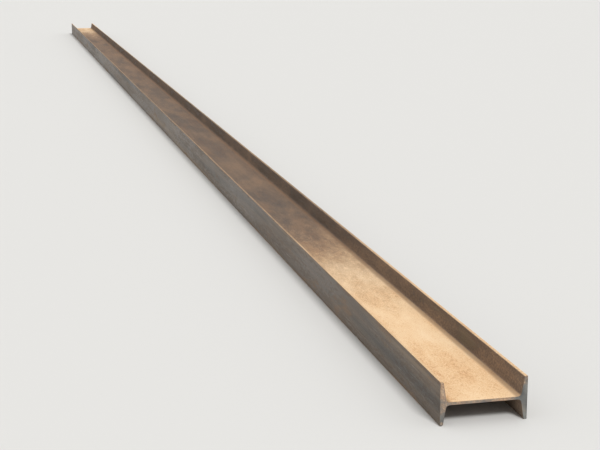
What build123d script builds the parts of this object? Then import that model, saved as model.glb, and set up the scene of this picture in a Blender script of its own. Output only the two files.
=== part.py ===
from build123d import *
import os

# A hot-rolled steel I-beam of size 22a: one straight bar with tapered flanges.
# Sizes are in millimetres. It lies as it is stacked in a yard, on the toes of its
# flanges with the web level: X runs along the bar, Y across its depth and Z up.
# The origin is on the floor, at the middle of the bar's length and depth.

# The bar as it is cut
length = 12000.0

# The rolled section. The flange's mean thickness is measured halfway between
# the web's face and the edge of the flange, and its inner face falls away from
# the web at the stated slope.
depth = 220.0
flange_width = 110.0
web_thickness = 7.5
flange_mean_thickness = 12.3
flange_slope = 1 / 6
root_radius = 9.5
toe_radius = 4.8
outer_edge_radius = 1.5

# Places that follow from those sizes
half_depth = depth / 2
half_width = flange_width / 2
half_web = web_thickness / 2
outstand = half_width - half_web
thickness_change = flange_slope * outstand / 2
thickness_at_web = flange_mean_thickness + thickness_change
thickness_at_toe = flange_mean_thickness - thickness_change


def rolled_section():
    """The section, with its depth along Y and its flanges' width along Z."""
    root_corner = (half_depth - thickness_at_web, half_web)
    inner_toe_corner = (half_depth - thickness_at_toe, half_width)
    outer_toe_corner = (half_depth, half_width)
    upper_corners = [root_corner, inner_toe_corner, outer_toe_corner]
    upper_radii = [root_radius, toe_radius, outer_edge_radius]

    # One flange runs from the web's upper face round to its lower face, and the
    # other is the same flange turned half a turn about the middle of the web.
    lower_corners = [(y, -z) for y, z in reversed(upper_corners)]
    flange = upper_corners + lower_corners
    opposite_flange = [(-y, -z) for y, z in flange]
    flange_radii = upper_radii + upper_radii[::-1]

    with BuildSketch(Plane.YZ) as section:
        with BuildLine():
            FilletPolyline(flange + opposite_flange, radius=flange_radii * 2, close=True)
        make_face()
    return section.sketch


def i_beam():
    """The bar: the section extruded both ways from its middle and set on its toes."""
    bar = extrude(rolled_section(), amount=length / 2, both=True)
    return Pos(0, 0, half_width) * bar


os.makedirs("parts", exist_ok=True)
export_step(i_beam(), "parts/i_beam.step")
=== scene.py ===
import cmath
import math

import bpy
import numpy as np
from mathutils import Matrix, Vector
from mathutils.geometry import delaunay_2d_cdt


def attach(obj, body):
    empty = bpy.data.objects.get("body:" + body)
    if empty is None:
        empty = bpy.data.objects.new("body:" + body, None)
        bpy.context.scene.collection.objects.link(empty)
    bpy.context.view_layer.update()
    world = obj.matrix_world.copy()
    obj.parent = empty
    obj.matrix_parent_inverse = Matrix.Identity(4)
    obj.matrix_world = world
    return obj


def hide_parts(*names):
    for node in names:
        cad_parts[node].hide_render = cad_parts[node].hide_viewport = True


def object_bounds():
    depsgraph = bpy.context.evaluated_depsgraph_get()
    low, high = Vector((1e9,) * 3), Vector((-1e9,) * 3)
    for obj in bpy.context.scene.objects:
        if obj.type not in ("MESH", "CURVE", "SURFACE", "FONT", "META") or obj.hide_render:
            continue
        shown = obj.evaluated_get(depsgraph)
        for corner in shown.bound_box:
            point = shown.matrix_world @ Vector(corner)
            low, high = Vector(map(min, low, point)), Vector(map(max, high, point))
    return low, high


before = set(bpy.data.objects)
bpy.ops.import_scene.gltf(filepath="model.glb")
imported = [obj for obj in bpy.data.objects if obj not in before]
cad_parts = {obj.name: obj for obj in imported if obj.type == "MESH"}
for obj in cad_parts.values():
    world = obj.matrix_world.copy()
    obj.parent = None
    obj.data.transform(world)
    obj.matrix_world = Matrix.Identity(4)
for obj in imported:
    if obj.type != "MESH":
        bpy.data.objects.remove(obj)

# One hot-rolled steel I-beam on a pale studio floor. All lengths are in metres, in
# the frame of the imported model: X along the bar, Y across its depth and Z up. A place
# in the section is one complex number, y + z j, with z measured from the web's middle.

cad_low, cad_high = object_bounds()

# The rolled section, whose outer size comes from the frame
HALF_LENGTH = cad_high[0]
HALF_DEPTH = cad_high[1]
HALF_WIDTH = cad_high[2] / 2
HALF_WEB = 0.0075 / 2
FLANGE_MEAN_THICKNESS = 0.0123
FLANGE_SLOPE = 1 / 6
ROOT_RADIUS = 0.0095
TOE_RADIUS = 0.0048
OUTER_EDGE_RADIUS = 0.0015

# How finely the surface is divided
ROOT_STEPS = 5
TOE_STEPS = 5
OUTER_EDGE_STEPS = 3
FLAT_SPACING = 0.008
STATION_SPACING = 0.045
END_ZONE = 0.24
END_STATION_SPACING = 0.008
CUT_FACE_SPACING = 0.004
CUT_FACE_JITTER = 0.2
CUT_FACE_MARGIN = 0.35
SAME_PLACE = 1e-7

# Relief of the rolled surface, always inwards from the true section
WAVE_DEPTH = 0.0004
WAVE_LENGTHS = (0.35, 1.6)
WAVE_TWIST = 12
TOE_WAVE_DEPTH = 0.0007
LOWER_TOE_SHARE = 0.25
TOE_WAVE_LENGTHS = (0.12, 0.9)
TOE_WAVE_COUNT = 8
FLANGES_APART = 0.3
TOE_REACH = 0.009
DENT_COUNT = 44
DENT_END_MARGIN = 0.05
DENT_DEPTH = (0.0005, 0.0018)
DENT_HALF_LENGTH = (0.005, 0.014)
DENT_REACH = 0.006

# The saw's cut: a shallow face inside a ragged burr
BURR_WIDTH = 0.0008
BURR_RAGGEDNESS = 0.0008
BURR_CREST_SHARE = 0.35
CUT_SETBACK = 0.001
CUT_WAVE_DEPTH = 0.0002
SAW_CENTRE = complex(-0.2, 0.6)
SAW_WAVE = 0.017
SAW_MARK_SPACING = 0.0038
SAW_MARK_HEIGHT = 0.0002

# Two faces that meet at more than this angle have a sharp edge between them
SHARP_ANGLE = math.radians(35)

# Marks on the section that steer the finish: facing up, inside a trough, toe and root
UPWARD_FROM = 0.35
UPWARD_FADE = 0.5
INSIDE_FROM = 0.003
INSIDE_FADE = 0.006
TOE_MARK_REACH = 0.014
ROOT_MARK_REACH = 0.020

# The bake map holds the bar in this many lengths, one above the other, and the ends
MAP_ROWS = 4
MAP_GAP = 0.003
MAP_END_SHARE = 0.09

# The photograph's camera, seen from the beam, with a longer lens turned to the beam
CAMERA_PLACE = (8.893, -1.136, 1.164)
CAMERA_AIM = (4.107, 0.0, 0.075)
CAMERA_LENS = 82.0
SENSOR_WIDTH = 36.0

# The reflection of mill scale, which is stronger than a paint's
SCALE_IOR = 1.55

# Dust on the web thickens outwards from a place that is not quite the bar's middle; with it the web
# is painted as if sunlit near the ends and in painted shade along the middle
DUST_AND_SHADE_CENTRE = -0.45
DUST_AND_SUN_START = 3.4
DUST_AND_SUN_FULL = 7.0

# Colours of the finish, in sRGB values up to 255
FLAKED_COLOUR = (121, 99, 77)
WEB_SPECK_COLOUR = (126, 90, 65)
DUST_SPECK_COLOUR = (186, 127, 79)
RUST_FILM_COLOUR = (151, 120, 93)
SILT_COLOUR = (128, 99, 75)
SCUFF_COLOUR = (150, 142, 132)
# The worn toe edges' colour is partly a painted highlight
WORN_EDGE_AND_HIGHLIGHT_COLOUR = (201, 166, 128)

# Heights of the rolled surface's finest relief
LUMP_HEIGHT = 0.0012
GRAIN_HEIGHT = 0.0006

# The studio
FLOOR_HALF_SIZE = 120.0
FLOOR_COLOUR = (220, 219, 216)
FLOOR_ROUGHNESS = 0.9
FLOOR_REFLECTION = 0.1
SKY_LIGHT = 0.62
BACKDROP_LIGHT = 0.82
KEY_LIGHT = 0.5
KEY_FROM = (0.68, 0.12, 0.72)
KEY_SPREAD = math.radians(16)

SEED = 22
chance = np.random.default_rng(SEED)


# Section

def rounded_corner(before, corner, after, radius, steps):
    """The points of the arc that rounds a corner, each with the way out of the steel."""
    way_in = (corner - before) / abs(corner - before)
    way_out = (after - corner) / abs(after - corner)
    turn = cmath.phase(way_out / way_in)
    bulge = -math.copysign(radius, turn)
    normal_in = way_in * 1j
    centre = corner - way_in * radius * math.tan(abs(turn) / 2) - normal_in * bulge
    normals = [normal_in * cmath.rect(1, turn * step / steps) for step in range(steps + 1)]
    return [(centre + normal * bulge, normal) for normal in normals]


def section_corners():
    """The section's sharp corners with their radii, clockwise from the -Y flange's root."""
    thickness_change = FLANGE_SLOPE * (HALF_WIDTH - HALF_WEB) / 2
    root = complex(HALF_DEPTH - FLANGE_MEAN_THICKNESS - thickness_change, HALF_WEB)
    inner_toe = complex(HALF_DEPTH - FLANGE_MEAN_THICKNESS + thickness_change, HALF_WIDTH)
    outer_toe = complex(HALF_DEPTH, HALF_WIDTH)
    upper = [
        (root, ROOT_RADIUS, ROOT_STEPS),
        (inner_toe, TOE_RADIUS, TOE_STEPS),
        (outer_toe, OUTER_EDGE_RADIUS, OUTER_EDGE_STEPS),
    ]
    lower = [(corner.conjugate(), radius, steps) for corner, radius, steps in reversed(upper)]
    flange = upper + lower
    opposite = [(-corner, radius, steps) for corner, radius, steps in flange]
    return opposite + flange


def section_outline():
    """Points round the section and their ways out, from the middle of the web's underside."""
    corners = section_corners()
    arcs = []
    for index, (corner, radius, steps) in enumerate(corners):
        before = corners[index - 1][0]
        after = corners[(index + 1) % len(corners)][0]
        arcs.append(rounded_corner(before, corner, after, radius, steps))

    outline = []
    for index, arc in enumerate(arcs):
        outline += arc
        end, normal = arc[-1]
        run = arcs[(index + 1) % len(arcs)][0][0] - end
        pieces = math.ceil(abs(run) / FLAT_SPACING)
        outline += [(end + run * step / pieces, normal) for step in range(1, pieces)]
    under_web = pieces // 2
    outline = outline[-under_web:] + outline[:-under_web]
    return np.array([point for point, _ in outline]), np.array([normal for _, normal in outline])


def distance_inside(places, outline):
    """How far each place lies inside the outline; negative where it lies outside."""
    starts = outline[None, :]
    sides = np.roll(outline, -1)[None, :] - starts
    offsets = places[:, None] - starts
    share = np.clip((offsets * sides.conj()).real / abs(sides) ** 2, 0, 1)
    distance = abs(offsets - share * sides).min(axis=1)
    sweep = np.angle((offsets - sides) / offsets).sum(axis=1)
    return np.where(abs(sweep) > math.pi, distance, -distance)


# Relief

def uneven(places, along, wave_lengths, count=5):
    """Smooth seeded unevenness between 0 and 1 over stations and places round the section."""
    total = np.zeros((len(places), len(along)))
    for _ in range(count):
        length = chance.uniform(*wave_lengths)
        twist = chance.uniform(-WAVE_TWIST, WAVE_TWIST)
        phase = chance.uniform(0, math.tau)
        total += np.sin(places[:, None] / length * math.tau + along[None, :] * twist + phase)
    return 0.5 + 0.5 * total / count


def edge_dents():
    """Seeded knocks on the flanges' edges: place along the bar, corner, half length and depth."""
    corners = [corner for corner, radius, _ in section_corners() if radius != ROOT_RADIUS]
    raised = [corner for corner in corners if corner.imag > 0]
    outer = [corner for corner in corners if abs(corner.real) == HALF_DEPTH]
    choices = raised + outer
    dents = []
    for _ in range(DENT_COUNT):
        place = round(chance.uniform(-1, 1) * (HALF_LENGTH - DENT_END_MARGIN), 3)
        corner = choices[chance.integers(len(choices))]
        half_length = chance.uniform(*DENT_HALF_LENGTH)
        depth = chance.uniform(*DENT_DEPTH)
        dents.append((place, corner, half_length, depth))
    return dents


def station_places(dents):
    """Where the section is repeated along the bar: closer at its ends and at each knock."""
    cuts = np.linspace(-HALF_LENGTH, HALF_LENGTH, MAP_ROWS + 1)
    ends = np.arange(END_STATION_SPACING, END_ZONE, END_STATION_SPACING)
    needed = [*cuts[1:-1], *(HALF_LENGTH - ends), *(ends - HALF_LENGTH)]
    for place, _, half_length, _ in dents:
        needed += [place + half_length * share for share in (-1, -0.5, 0, 0.5, 1)]
    needed = np.unique(np.round(needed, 3))
    needed = needed[abs(needed) < HALF_LENGTH - END_STATION_SPACING / 2]

    filler = np.arange(END_ZONE - HALF_LENGTH, HALF_LENGTH - END_ZONE, STATION_SPACING)
    gap = abs(filler[:, None] - needed[None, :]).min(axis=1)
    filler = filler[gap > STATION_SPACING / 4]
    rim = HALF_LENGTH - CUT_SETBACK
    return np.concatenate([[-rim], np.sort(np.concatenate([needed, filler])), [rim]])


def relieved_section(stations, outline, normals, along, dents):
    """The section at every station, uneven and knocked, all of it inside the true one."""
    height = outline.imag
    toe = np.clip(1 - (HALF_WIDTH - abs(height)) / TOE_REACH, 0, 1) ** 2
    toe_depth = np.where(height > 0, TOE_WAVE_DEPTH, TOE_WAVE_DEPTH * LOWER_TOE_SHARE) * toe
    flange = np.where(outline.real > 0, FLANGES_APART, 0.0)
    face_waves = uneven(stations, along, WAVE_LENGTHS)
    toe_waves = uneven(stations, flange, TOE_WAVE_LENGTHS, TOE_WAVE_COUNT)
    sections = outline[None, :] - normals[None, :] * WAVE_DEPTH * face_waves
    sections = sections - 1j * np.sign(height) * toe_depth * toe_waves
    for place, corner, half_length, depth in dents:
        near = np.clip(1 - ((stations - place) / half_length) ** 2, 0, 1) ** 2
        reach = np.clip(1 - (abs(outline - corner) / DENT_REACH) ** 2, 0, 1) ** 2
        flange_middle = math.copysign(HALF_DEPTH - FLANGE_MEAN_THICKNESS / 2, corner.real)
        core = complex(flange_middle, corner.imag * 0.8)
        away = (core - corner) / abs(core - corner)
        sections = sections + away * depth * near[:, None] * reach[None, :]
    return sections


# Mesh

class BarMesh:
    """Collects the bar's vertices and faces, with their materials and places on the bake map."""

    def __init__(self):
        self.vertices = []
        self.faces = []
        self.materials = []
        self.map_places = []

    def add_vertices(self, x, section):
        """Adds the points of a section at the places x; returns their numbers."""
        first = len(self.vertices)
        x = np.broadcast_to(x, section.shape)
        heights = np.maximum(section.imag + HALF_WIDTH, 0)
        self.vertices += list(zip(x.tolist(), section.real.tolist(), heights.tolist()))
        return list(range(first, len(self.vertices)))

    def add_face(self, face, material, map_places):
        self.faces.append(face)
        self.materials.append(material)
        self.map_places += map_places

    def add_ring_faces(self, ring, following, material, to_map):
        """Quads from one ring to the one further along +X; to_map gives a corner's map place."""
        count = len(ring)
        for index in range(count):
            after = (index + 1) % count
            face = (ring[index], following[index], following[after], ring[after])
            places = [to_map(0, index), to_map(1, index), to_map(1, index + 1), to_map(0, index + 1)]
            self.add_face(face, material, places)


ROLLED, SAWN = 0, 1


def add_rolled_surface(bar, stations, sections, along):
    """The surface between the two sawn ends; returns the numbers of its rings."""
    rings = [bar.add_vertices(x, section) for x, section in zip(stations, sections)]
    row_length = 2 * HALF_LENGTH / MAP_ROWS
    row_height = (1 - MAP_END_SHARE) / MAP_ROWS
    shares = np.append(along, 1.0).tolist()
    for index in range(len(stations) - 1):
        middle = (stations[index] + stations[index + 1]) / 2
        row = int((middle + HALF_LENGTH) // row_length)
        row_start = row * row_length - HALF_LENGTH
        offsets = stations[index:index + 2] - row_start
        across = [MAP_GAP + offset / row_length * (1 - 2 * MAP_GAP) for offset in offsets]
        foot = row * row_height + MAP_GAP
        heights = [foot + share * (row_height - 2 * MAP_GAP) for share in shares]

        def map_place(step, point):
            return across[step], heights[point]

        bar.add_ring_faces(rings[index], rings[index + 1], ROLLED, map_place)
    return rings


def cut_face_relief(section):
    """How far the sawn face lies in front of its deepest place: broad arcs left by the saw."""
    arcs = 0.5 + 0.5 * np.sin(abs(section - SAW_CENTRE) / SAW_WAVE * math.tau)
    lean = 0.5 + 0.5 * section.real / HALF_DEPTH
    return CUT_WAVE_DEPTH * (0.6 * arcs + 0.4 * lean)


def add_sawn_end(bar, ring, section, normals, end):
    """Closes an end, 1 or -1 for its side: a ragged burr round a shallow sawn face."""
    map_scale = (MAP_END_SHARE - 2 * MAP_GAP) / (2 * HALF_WIDTH)
    map_centre = complex(0.5 + end * (HALF_DEPTH * map_scale + 2 * MAP_GAP), 1 - MAP_END_SHARE / 2)

    def map_place(number):
        _, y, z = bar.vertices[number]
        place = map_centre + complex(end * y, z - HALF_WIDTH) * map_scale
        return place.real, place.imag

    crest = HALF_LENGTH - BURR_RAGGEDNESS * chance.uniform(0, 1, len(section)) ** 0.7
    crest_section = section - normals * BURR_WIDTH * BURR_CREST_SHARE
    crest_ring = bar.add_vertices(end * crest, crest_section)
    inner_section = section - normals * BURR_WIDTH
    deepest = HALF_LENGTH - CUT_SETBACK - CUT_WAVE_DEPTH
    inner_ring = bar.add_vertices(end * (deepest + cut_face_relief(inner_section)), inner_section)
    count = len(ring)
    for outer, inner in ((ring, crest_ring), (crest_ring, inner_ring)):
        pair = (outer, inner) if end > 0 else (inner, outer)
        bar.add_ring_faces(*pair, SAWN, lambda step, point: map_place(pair[step][point % count]))

    y, z = np.meshgrid(
        np.arange(-HALF_DEPTH, HALF_DEPTH, CUT_FACE_SPACING),
        np.arange(-HALF_WIDTH, HALF_WIDTH + CUT_FACE_SPACING, CUT_FACE_SPACING),
    )
    grid = (y + 1j * z).ravel()
    jitter = chance.uniform(-1, 1, len(grid)) + 1j * chance.uniform(-1, 1, len(grid))
    grid = grid + CUT_FACE_SPACING * CUT_FACE_JITTER * jitter
    grid = grid[distance_inside(grid, inner_section) > CUT_FACE_SPACING * CUT_FACE_MARGIN]
    places = [Vector((point.real, point.imag)) for point in np.concatenate([inner_section, grid])]
    border = list(range(len(inner_section)))
    borders = [border if end > 0 else border[::-1]]
    only_inside = 1
    result = delaunay_2d_cdt(places, [], borders, only_inside, SAME_PLACE)
    found, _, triangles, sources, _, _ = result
    grid_numbers = bar.add_vertices(end * (deepest + cut_face_relief(grid)), grid)
    numbers = inner_ring + grid_numbers
    for triangle in triangles:
        face = [numbers[sources[corner][0]] for corner in triangle]
        first, second, third = [found[corner] for corner in triangle]
        turn = (second - first).cross(third - first)
        if turn * end < 0:
            face.reverse()
        bar.add_face(face, SAWN, [map_place(number) for number in face])


def surface_marks(outline, normals):
    """Where along the section dust settles, rust gathers and edges wear, each from 0 to 1; the dust
    and toe marks also steer painted sunlight and a painted edge highlight.
    """
    root = section_corners()[0][0]
    folded = abs(outline.real) + 1j * abs(outline.imag)
    folded_root = abs(root.real) + 1j * abs(root.imag)
    return {
        "upward": np.clip((normals.imag - UPWARD_FROM) / UPWARD_FADE, 0, 1),
        "inside": np.clip((HALF_DEPTH - abs(outline.real) - INSIDE_FROM) / INSIDE_FADE, 0, 1),
        "toe": np.clip(1 - (HALF_WIDTH - abs(outline.imag)) / TOE_MARK_REACH, 0, 1),
        "root": np.clip(1 - abs(folded - folded_root) / ROOT_MARK_REACH, 0, 1),
    }


def build_beam(materials):
    """The bar's mesh, which stands for the plain CAD solid."""
    outline, normals = section_outline()
    steps = abs(np.roll(outline, -1) - outline)
    along = (np.cumsum(steps) - steps) / steps.sum()
    dents = edge_dents()
    stations = station_places(dents)
    sections = relieved_section(stations, outline, normals, along, dents)

    bar = BarMesh()
    rings = add_rolled_surface(bar, stations, sections, along)
    add_sawn_end(bar, rings[0], sections[0], normals, -1)
    add_sawn_end(bar, rings[-1], sections[-1], normals, 1)

    mesh = bpy.data.meshes.new("rolled_i_beam")
    mesh.from_pydata(bar.vertices, [], bar.faces)
    mesh.polygons.foreach_set("material_index", bar.materials)
    mesh.polygons.foreach_set("use_smooth", [True] * len(bar.faces))
    mesh.uv_layers.new(name="OFBake").uv.foreach_set("vector", np.array(bar.map_places).ravel())
    for name, marks in surface_marks(outline, normals).items():
        values = np.zeros(len(bar.vertices))
        values[:len(stations) * len(outline)] = np.tile(marks, len(stations))
        mesh.attributes.new(name, "FLOAT", "POINT").data.foreach_set("value", values)
    mesh.set_sharp_from_angle(angle=SHARP_ANGLE)
    for material in materials:
        mesh.materials.append(material)

    beam = bpy.data.objects.new("rolled_i_beam", mesh)
    bpy.context.scene.collection.objects.link(beam)
    shading = beam.modifiers.new("even_shading", "WEIGHTED_NORMAL")
    shading.keep_sharp = True
    return beam


# Materials

def linear(colour):
    """A colour of three sRGB values up to 255 as the four numbers of a colour socket."""
    numbers = []
    for value in colour:
        share = value / 255
        numbers.append(share / 12.92 if share < 0.04045 else ((share + 0.055) / 1.055) ** 2.4)
    return (*numbers, 1)


class Graph:
    """The nodes of one material. Each method adds a node and returns its output."""

    def __init__(self, name):
        self.material = bpy.data.materials.new(name)
        self.material.use_nodes = True
        self.tree = self.material.node_tree
        self.shader = self.tree.nodes["Principled BSDF"]
        self.place = self.node("ShaderNodeTexCoord", {}).outputs["Object"]

    def feed(self, socket, value):
        if isinstance(value, bpy.types.NodeSocket):
            self.tree.links.new(value, socket)
        else:
            socket.default_value = value

    def node(self, kind, inputs, **settings):
        node = self.tree.nodes.new(kind)
        for name, value in settings.items():
            setattr(node, name, value)
        for name, value in inputs.items():
            self.feed(node.inputs[name], value)
        return node

    def stretched(self, along, move=0.0):
        """The place on the bar with its X pressed together, which draws patterns out along it."""
        inputs = {"Vector": self.place, "Scale": (1 / along, 1, 1), "Location": (move, move, move)}
        return self.node("ShaderNodeMapping", inputs).outputs[0]

    def noise(self, size, along=1.0, detail=4.0, roughness=0.55, distortion=0.0, move=0.0):
        """Noise with features of about this size, drawn out along the bar."""
        inputs = {
            "Vector": self.stretched(along, move),
            "Scale": 1 / size,
            "Detail": detail,
            "Roughness": roughness,
            "Distortion": distortion,
        }
        return self.node("ShaderNodeTexNoise", inputs).outputs[0]

    def cells(self, size, along, ragged, move):
        """A random value between 0 and 1 for each of many cells with ragged sides."""
        place = self.stretched(along, move)
        ripple = self.node("ShaderNodeTexNoise", {"Vector": place, "Scale": 2 / size, "Detail": 2.0})
        inputs = {0: ripple.outputs["Color"], 1: (ragged * size,) * 3, 2: place}
        ragged_place = self.node("ShaderNodeVectorMath", inputs, operation="MULTIPLY_ADD").outputs[0]
        cells = self.node("ShaderNodeTexVoronoi", {"Vector": ragged_place, "Scale": 1 / size})
        return self.node("ShaderNodeSeparateColor", {0: cells.outputs["Color"]}).outputs[0]

    def mark(self, name):
        return self.node("ShaderNodeAttribute", {}, attribute_name=name).outputs["Fac"]

    def math(self, operation, *values):
        return self.node("ShaderNodeMath", dict(enumerate(values)), operation=operation).outputs[0]

    def times(self, *values):
        product = values[0]
        for value in values[1:]:
            product = self.math("MULTIPLY", product, value)
        return product

    def total(self, *parts):
        """The sum of some values, each multiplied by its weight."""
        value, weight = parts[0]
        total = self.math("MULTIPLY", value, weight)
        for value, weight in parts[1:]:
            total = self.math("MULTIPLY_ADD", value, weight, total)
        return total

    def rise(self, value, low, high, bottom=0.0, top=1.0):
        """Smooth change from bottom to top as the value goes from low to high."""
        inputs = {"Value": value, "From Min": low, "From Max": high, "To Min": bottom, "To Max": top}
        return self.node("ShaderNodeMapRange", inputs, interpolation_type="SMOOTHSTEP").outputs[0]

    def mix(self, share, first, second):
        node = self.node("ShaderNodeMix", {0: share, 6: first, 7: second}, data_type="RGBA")
        return node.outputs[2]

    def shade(self, colour, factor):
        """A colour made lighter or darker by a factor."""
        inputs = {0: colour, "Scale": factor}
        return self.node("ShaderNodeVectorMath", inputs, operation="SCALE").outputs[0]

    def ramp(self, value, stops):
        """A colour that follows a value through (value, sRGB colour) stops."""
        node = self.node("ShaderNodeValToRGB", {"Fac": value})
        elements = node.color_ramp.elements
        while len(elements) < len(stops):
            elements.new(1.0)
        for element, (position, colour) in zip(elements, stops):
            element.position = position
            element.color = linear(colour)
        return node.outputs[0]

    def bump(self, height, distance, below=None):
        inputs = {"Height": height, "Distance": distance, "Strength": 1.0}
        if below is not None:
            inputs["Normal"] = below
        return self.node("ShaderNodeBump", inputs).outputs[0]

    def finish(self, colour, roughness, normal, metallic=0.0):
        self.feed(self.shader.inputs["Base Color"], colour)
        self.feed(self.shader.inputs["Roughness"], roughness)
        self.feed(self.shader.inputs["Metallic"], metallic)
        self.feed(self.shader.inputs["Normal"], normal)
        return self.material


def rolled_material():
    """Mill scale drawn out along the bar, rust in the troughs and rust dust on what faces up; the
    dust's paleness and the pale toe edges are partly painted sunlight, and the darker middle of the
    web is painted shade.
    """
    graph = Graph("hot_rolled_surface")
    upward, inside, toe, root = [graph.mark(name) for name in ("upward", "inside", "toe", "root")]
    outside = graph.math("SUBTRACT", 1.0, inside)

    # Mill scale: long grey-brown bands, flaked off in small sharp-edged patches
    bands = graph.noise(0.042, along=45, detail=3, roughness=0.5)
    streaks = graph.noise(0.010, along=70, detail=2, roughness=0.5, move=3)
    clouds = graph.noise(0.20, along=3, detail=5, roughness=0.6, move=7)
    pits = graph.noise(0.0026, along=1.4, detail=4, roughness=0.65, move=53)
    scale_colour = graph.ramp(bands, [
        (0.32, (56, 47, 37)),
        (0.42, (77, 65, 51)),
        (0.50, (95, 79, 62)),
        (0.58, (80, 66, 53)),
        (0.68, (113, 94, 71)),
    ])
    scale_colour = graph.shade(scale_colour, graph.rise(streaks, 0.3, 0.7, 0.92, 1.08))
    scale_colour = graph.shade(scale_colour, graph.rise(clouds, 0.32, 0.68, 0.90, 1.10))
    scale_colour = graph.shade(scale_colour, graph.rise(pits, 0.30, 0.46, 0.72, 1.0))
    flake_cells = graph.cells(0.006, along=4.0, ragged=0.9, move=73)
    flake_clouds = graph.noise(0.05, along=14, detail=5, move=79)
    flake_reach = graph.math("MULTIPLY_ADD", flake_cells, 0.26, flake_clouds)
    flaked = graph.rise(flake_reach, 0.70, 0.73)
    scale_colour = graph.mix(graph.times(flaked, 0.14), scale_colour, linear(FLAKED_COLOUR))

    # Rust: freckles on the outer faces, thick in the troughs and along their roots
    rust_clouds = graph.noise(0.09, along=3.5, detail=7, roughness=0.68, distortion=0.3, move=11)
    rust_grain = graph.noise(0.005, along=1.3, detail=4, roughness=0.7, move=17)
    freckle_reach = graph.math("MULTIPLY_ADD", clouds, -0.35, rust_grain)
    freckles = graph.rise(freckle_reach, 0.40, 0.46, 0.0, 0.42)
    rust_reach = graph.total(
        (rust_clouds, 1.0),
        (inside, 0.17),
        (root, 0.10),
        (toe, 0.13),
        (rust_grain, 0.20),
    )
    rust_cover = graph.rise(rust_reach, 0.68, 0.76)
    rust_strength = graph.math("MULTIPLY_ADD", outside, -0.2, 0.85)
    rust = graph.math("MAXIMUM", freckles, graph.times(rust_cover, rust_strength))
    rust_colour = graph.ramp(graph.total((rust_clouds, 0.5), (rust_grain, 0.5)), [
        (0.36, (83, 70, 61)),
        (0.46, (106, 90, 77)),
        (0.54, (130, 109, 91)),
        (0.66, (162, 134, 106)),
    ])
    colour = graph.mix(rust, scale_colour, rust_colour)

    # Powdery rust dust on the upper faces, thickest near the ends, its pale colour partly painted
    # sunlight
    place_along = graph.node("ShaderNodeSeparateXYZ", {"Vector": graph.place}).outputs[0]
    from_centre = graph.math("ABSOLUTE", graph.math("SUBTRACT", place_along, DUST_AND_SHADE_CENTRE))
    # Dust and painted light together: pale, sunlit-looking ends and a painted shade along the middle
    dust_and_sunlit_ends = graph.rise(from_centre, DUST_AND_SUN_START, DUST_AND_SUN_FULL)
    dust_clouds = graph.noise(0.10, along=3.2, detail=6, roughness=0.62, distortion=0.2, move=23)
    dust_grain = graph.noise(0.0036, along=1.2, detail=5, roughness=0.75, move=29)
    powder = graph.total((dust_grain, 0.58), (dust_clouds, 0.42))
    sunlit_dust_colour = graph.ramp(powder, [
        (0.38, (212, 163, 114)),
        (0.45, (231, 189, 141)),
        (0.51, (240, 204, 159)),
        (0.59, (245, 215, 176)),
    ])
    drift = graph.noise(0.30, along=5.0, detail=4, roughness=0.55, move=31)
    flakes = graph.cells(0.014, along=2.2, ragged=1.0, move=83)
    dust_and_sun_reach = graph.total(
        (dust_and_sunlit_ends, 0.8),
        (drift, 0.4),
        (dust_clouds, 0.3),
        (dust_grain, 0.6),
        (flakes, 0.06),
    )
    speckle = graph.noise(0.0085, along=1.3, detail=5, roughness=0.75, move=67)
    speckle_reach = graph.math("MULTIPLY_ADD", dust_clouds, -0.5, speckle)
    dust_specks = graph.rise(speckle_reach, 0.33, 0.39, 0.0, 0.42)
    sunlit_dust_colour = graph.mix(dust_specks, sunlit_dust_colour, linear(DUST_SPECK_COLOUR))

    # Dark steel under the dust, with a thin film of rust, and silt along the roots. Where the dust
    # thins along the middle, this darker steel is also painted shade
    film_reach = graph.total((drift, 0.5), (dust_clouds, 0.5), (dust_grain, 0.5))
    film = graph.rise(film_reach, 0.62, 0.90, 0.04, 0.52)
    bare_web_and_shade = graph.ramp(rust_reach, [
        (0.60, (75, 70, 66)),
        (0.74, (88, 79, 71)),
        (0.88, (113, 93, 76)),
    ])
    bare_web_and_shade = graph.shade(bare_web_and_shade, graph.rise(streaks, 0.3, 0.7, 0.92, 1.08))
    bare_web_and_shade = graph.shade(bare_web_and_shade, graph.rise(dust_grain, 0.36, 0.64, 0.76, 1.24))
    web_specks = graph.rise(speckle_reach, 0.26, 0.42, 0.0, 0.5)
    bare_web_and_shade = graph.mix(web_specks, bare_web_and_shade, linear(WEB_SPECK_COLOUR))
    film_and_shade_cover = graph.rise(dust_and_sun_reach, 0.66, 1.14, film, 1.0)
    dust_and_sun_cover = graph.rise(dust_and_sun_reach, 0.80, 1.32)
    web_colour = graph.mix(film_and_shade_cover, bare_web_and_shade, linear(RUST_FILM_COLOUR))
    web_colour = graph.mix(dust_and_sun_cover, web_colour, sunlit_dust_colour)
    silt = graph.rise(graph.math("MULTIPLY_ADD", powder, 1.2, root), 0.75, 1.25, 0.0, 0.6)
    web_colour = graph.mix(silt, web_colour, linear(SILT_COLOUR))
    # Upward faces take the web's finish: dust whose paleness is partly painted sunlight
    dust = graph.rise(upward, 0.25, 0.95)
    colour = graph.mix(dust, colour, web_colour)

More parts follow.
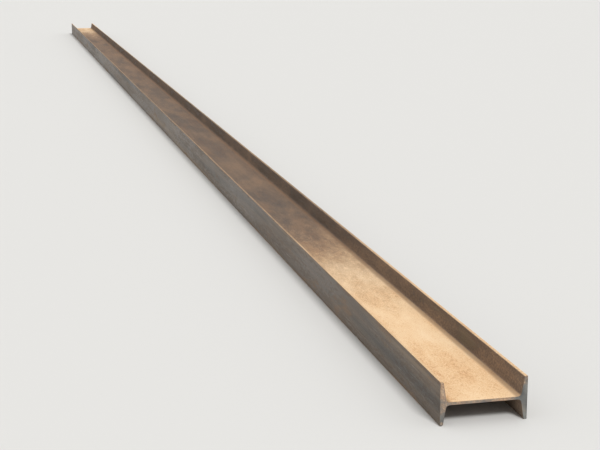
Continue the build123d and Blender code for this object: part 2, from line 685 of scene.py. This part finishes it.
    # Scuffs from dragging and lifting, and worn toe edges, whose pale line is partly a painted
    # highlight
    scuff_lines = graph.noise(0.0026, along=60, detail=2, roughness=0.5, move=41)
    scuff_places = graph.noise(0.22, along=2, detail=3, move=43)
    scuffs = graph.times(graph.rise(scuff_lines, 0.62, 0.66), graph.rise(scuff_places, 0.48, 0.58))
    bare = graph.math("SUBTRACT", 1.0, graph.math("MAXIMUM", upward, inside))
    colour = graph.mix(graph.times(scuffs, bare, 0.5), colour, linear(SCUFF_COLOUR))
    wear_and_highlight = graph.times(graph.rise(toe, 0.72, 1.0), graph.rise(rust_grain, 0.42, 0.52))
    colour = graph.mix(graph.times(wear_and_highlight, 0.55), colour, linear(WORN_EDGE_AND_HIGHLIGHT_COLOUR))

    # Scale keeps a dull sheen, and rust and dust have none
    roughness = graph.rise(clouds, 0.3, 0.7, 0.36, 0.50)
    covered = graph.math("MAXIMUM", graph.math("MAXIMUM", rust, dust), graph.times(flaked, 0.25))
    rougher = graph.math("SUBTRACT", 0.92, roughness)
    roughness = graph.math("MULTIPLY_ADD", covered, rougher, roughness)

    lumps = graph.noise(0.05, along=3, detail=3, move=59)
    relief = graph.math("MULTIPLY_ADD", rust, rust_grain, pits)
    relief = graph.math("MULTIPLY_ADD", dust, graph.times(dust_grain, 0.5), relief)
    relief = graph.math("MULTIPLY_ADD", flaked, -0.2, relief)
    normal = graph.bump(lumps, LUMP_HEIGHT)
    normal = graph.bump(relief, GRAIN_HEIGHT, normal)
    graph.shader.inputs["IOR"].default_value = SCALE_IOR
    return graph.finish(colour, roughness, normal)


def sawn_material():
    """Sawn steel: grey, with the saw's curved marks, and rust on the web and up the flanges."""
    graph = Graph("sawn_end")
    axes = graph.node("ShaderNodeSeparateXYZ", {"Vector": graph.place}).outputs
    saw_y = graph.math("SUBTRACT", axes[1], SAW_CENTRE.real)
    saw_z = graph.math("SUBTRACT", axes[2], HALF_WIDTH + SAW_CENTRE.imag)
    squares = graph.math("ADD", graph.times(saw_y, saw_y), graph.times(saw_z, saw_z))
    saw_distance = graph.math("SQRT", squares)
    patches = graph.noise(0.03, detail=5, roughness=0.6, move=5)
    grain = graph.noise(0.0035, detail=4, roughness=0.65, move=9)
    saw_turns = graph.times(saw_distance, math.tau / SAW_MARK_SPACING)
    saw_phase = graph.math("MULTIPLY_ADD", patches, 5.0, saw_turns)
    saw_marks = graph.math("MULTIPLY_ADD", graph.math("SINE", saw_phase), 0.5, 0.5)

    colour = graph.ramp(patches, [
        (0.32, (94, 94, 92)),
        (0.48, (112, 112, 109)),
        (0.64, (131, 131, 126)),
    ])
    colour = graph.shade(colour, graph.math("MULTIPLY_ADD", saw_marks, 0.12, 0.93))
    web = graph.rise(graph.math("ABSOLUTE", axes[1]), 0.100, 0.070)
    height = graph.rise(axes[2], 0.05, 0.10)
    rust_clouds = graph.noise(0.045, detail=6, roughness=0.62, distortion=0.3, move=13)
    rusty_place = graph.math("MAXIMUM", web, height)
    rust_reach = graph.total((rust_clouds, 1.0), (grain, 0.22), (rusty_place, 0.13))
    rust = graph.rise(rust_reach, 0.56, 0.84)
    rust_colour = graph.ramp(grain, [
        (0.35, (136, 104, 80)),
        (0.50, (170, 136, 106)),
        (0.65, (198, 168, 134)),
    ])
    colour = graph.mix(graph.times(rust, 0.8), colour, rust_colour)
    metallic = graph.rise(rust, 0.0, 1.0, 0.45, 0.0)
    roughness = graph.rise(rust, 0.0, 1.0, 0.45, 0.90)
    relief = graph.math("MULTIPLY_ADD", grain, 0.6, saw_marks)
    return graph.finish(colour, roughness, graph.bump(relief, SAW_MARK_HEIGHT), metallic)


def floor_material():
    """Plain pale floor."""
    graph = Graph("studio_floor")
    graph.feed(graph.shader.inputs["Base Color"], linear(FLOOR_COLOUR))
    graph.feed(graph.shader.inputs["Roughness"], FLOOR_ROUGHNESS)
    graph.feed(graph.shader.inputs["Specular IOR Level"], FLOOR_REFLECTION)
    return graph.material


# Studio

def add_floor():
    size = FLOOR_HALF_SIZE
    corners = [(-size, -size, 0), (size, -size, 0), (size, size, 0), (-size, size, 0)]
    mesh = bpy.data.meshes.new("studio_floor")
    mesh.from_pydata(corners, [], [(0, 1, 2, 3)])
    mesh.materials.append(floor_material())
    floor = bpy.data.objects.new("studio_floor", mesh)
    bpy.context.scene.collection.objects.link(floor)


def add_lights():
    """Even light from all round, with a white backdrop to be seen, and one soft key light."""
    world = bpy.data.worlds.new("studio")
    bpy.context.scene.world = world
    world.use_nodes = True
    nodes, links = world.node_tree.nodes, world.node_tree.links
    path = nodes.new("ShaderNodeLightPath").outputs
    seen = path["Is Camera Ray"]
    for name in ("Is Glossy Ray", "Is Transmission Ray"):
        either = nodes.new("ShaderNodeMath")
        either.operation = "MAXIMUM"
        links.new(seen, either.inputs[0])
        links.new(path[name], either.inputs[1])
        seen = either.outputs[0]
    level = nodes.new("ShaderNodeMapRange")
    level.inputs["To Min"].default_value = SKY_LIGHT
    level.inputs["To Max"].default_value = BACKDROP_LIGHT
    links.new(seen, level.inputs["Value"])
    background = nodes["Background"]
    background.inputs["Color"].default_value = (1, 1, 1, 1)
    links.new(level.outputs[0], background.inputs["Strength"])

    from_key = Vector(KEY_FROM).normalized()
    data = bpy.data.lights.new("key_light", "SUN")
    data.energy = KEY_LIGHT * math.pi / from_key.z
    data.angle = KEY_SPREAD
    key = bpy.data.objects.new("key_light", data)
    key.rotation_euler = from_key.to_track_quat("Z", "Y").to_euler()
    bpy.context.scene.collection.objects.link(key)


def add_camera():
    data = bpy.data.cameras.new("camera")
    data.sensor_fit = "HORIZONTAL"
    data.sensor_width = SENSOR_WIDTH
    data.lens = CAMERA_LENS
    data.clip_end = 4 * FLOOR_HALF_SIZE
    camera = bpy.data.objects.new("camera", data)
    camera.location = CAMERA_PLACE
    view = Vector(CAMERA_AIM) - Vector(CAMERA_PLACE)
    camera.rotation_euler = view.to_track_quat("-Z", "Y").to_euler()
    bpy.context.scene.collection.objects.link(camera)
    bpy.context.scene.camera = camera


beam = build_beam([rolled_material(), sawn_material()])
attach(beam, "root")
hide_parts("i_beam")

add_floor()
add_lights()
add_camera()
bpy.context.scene.view_settings.view_transform = "Standard"
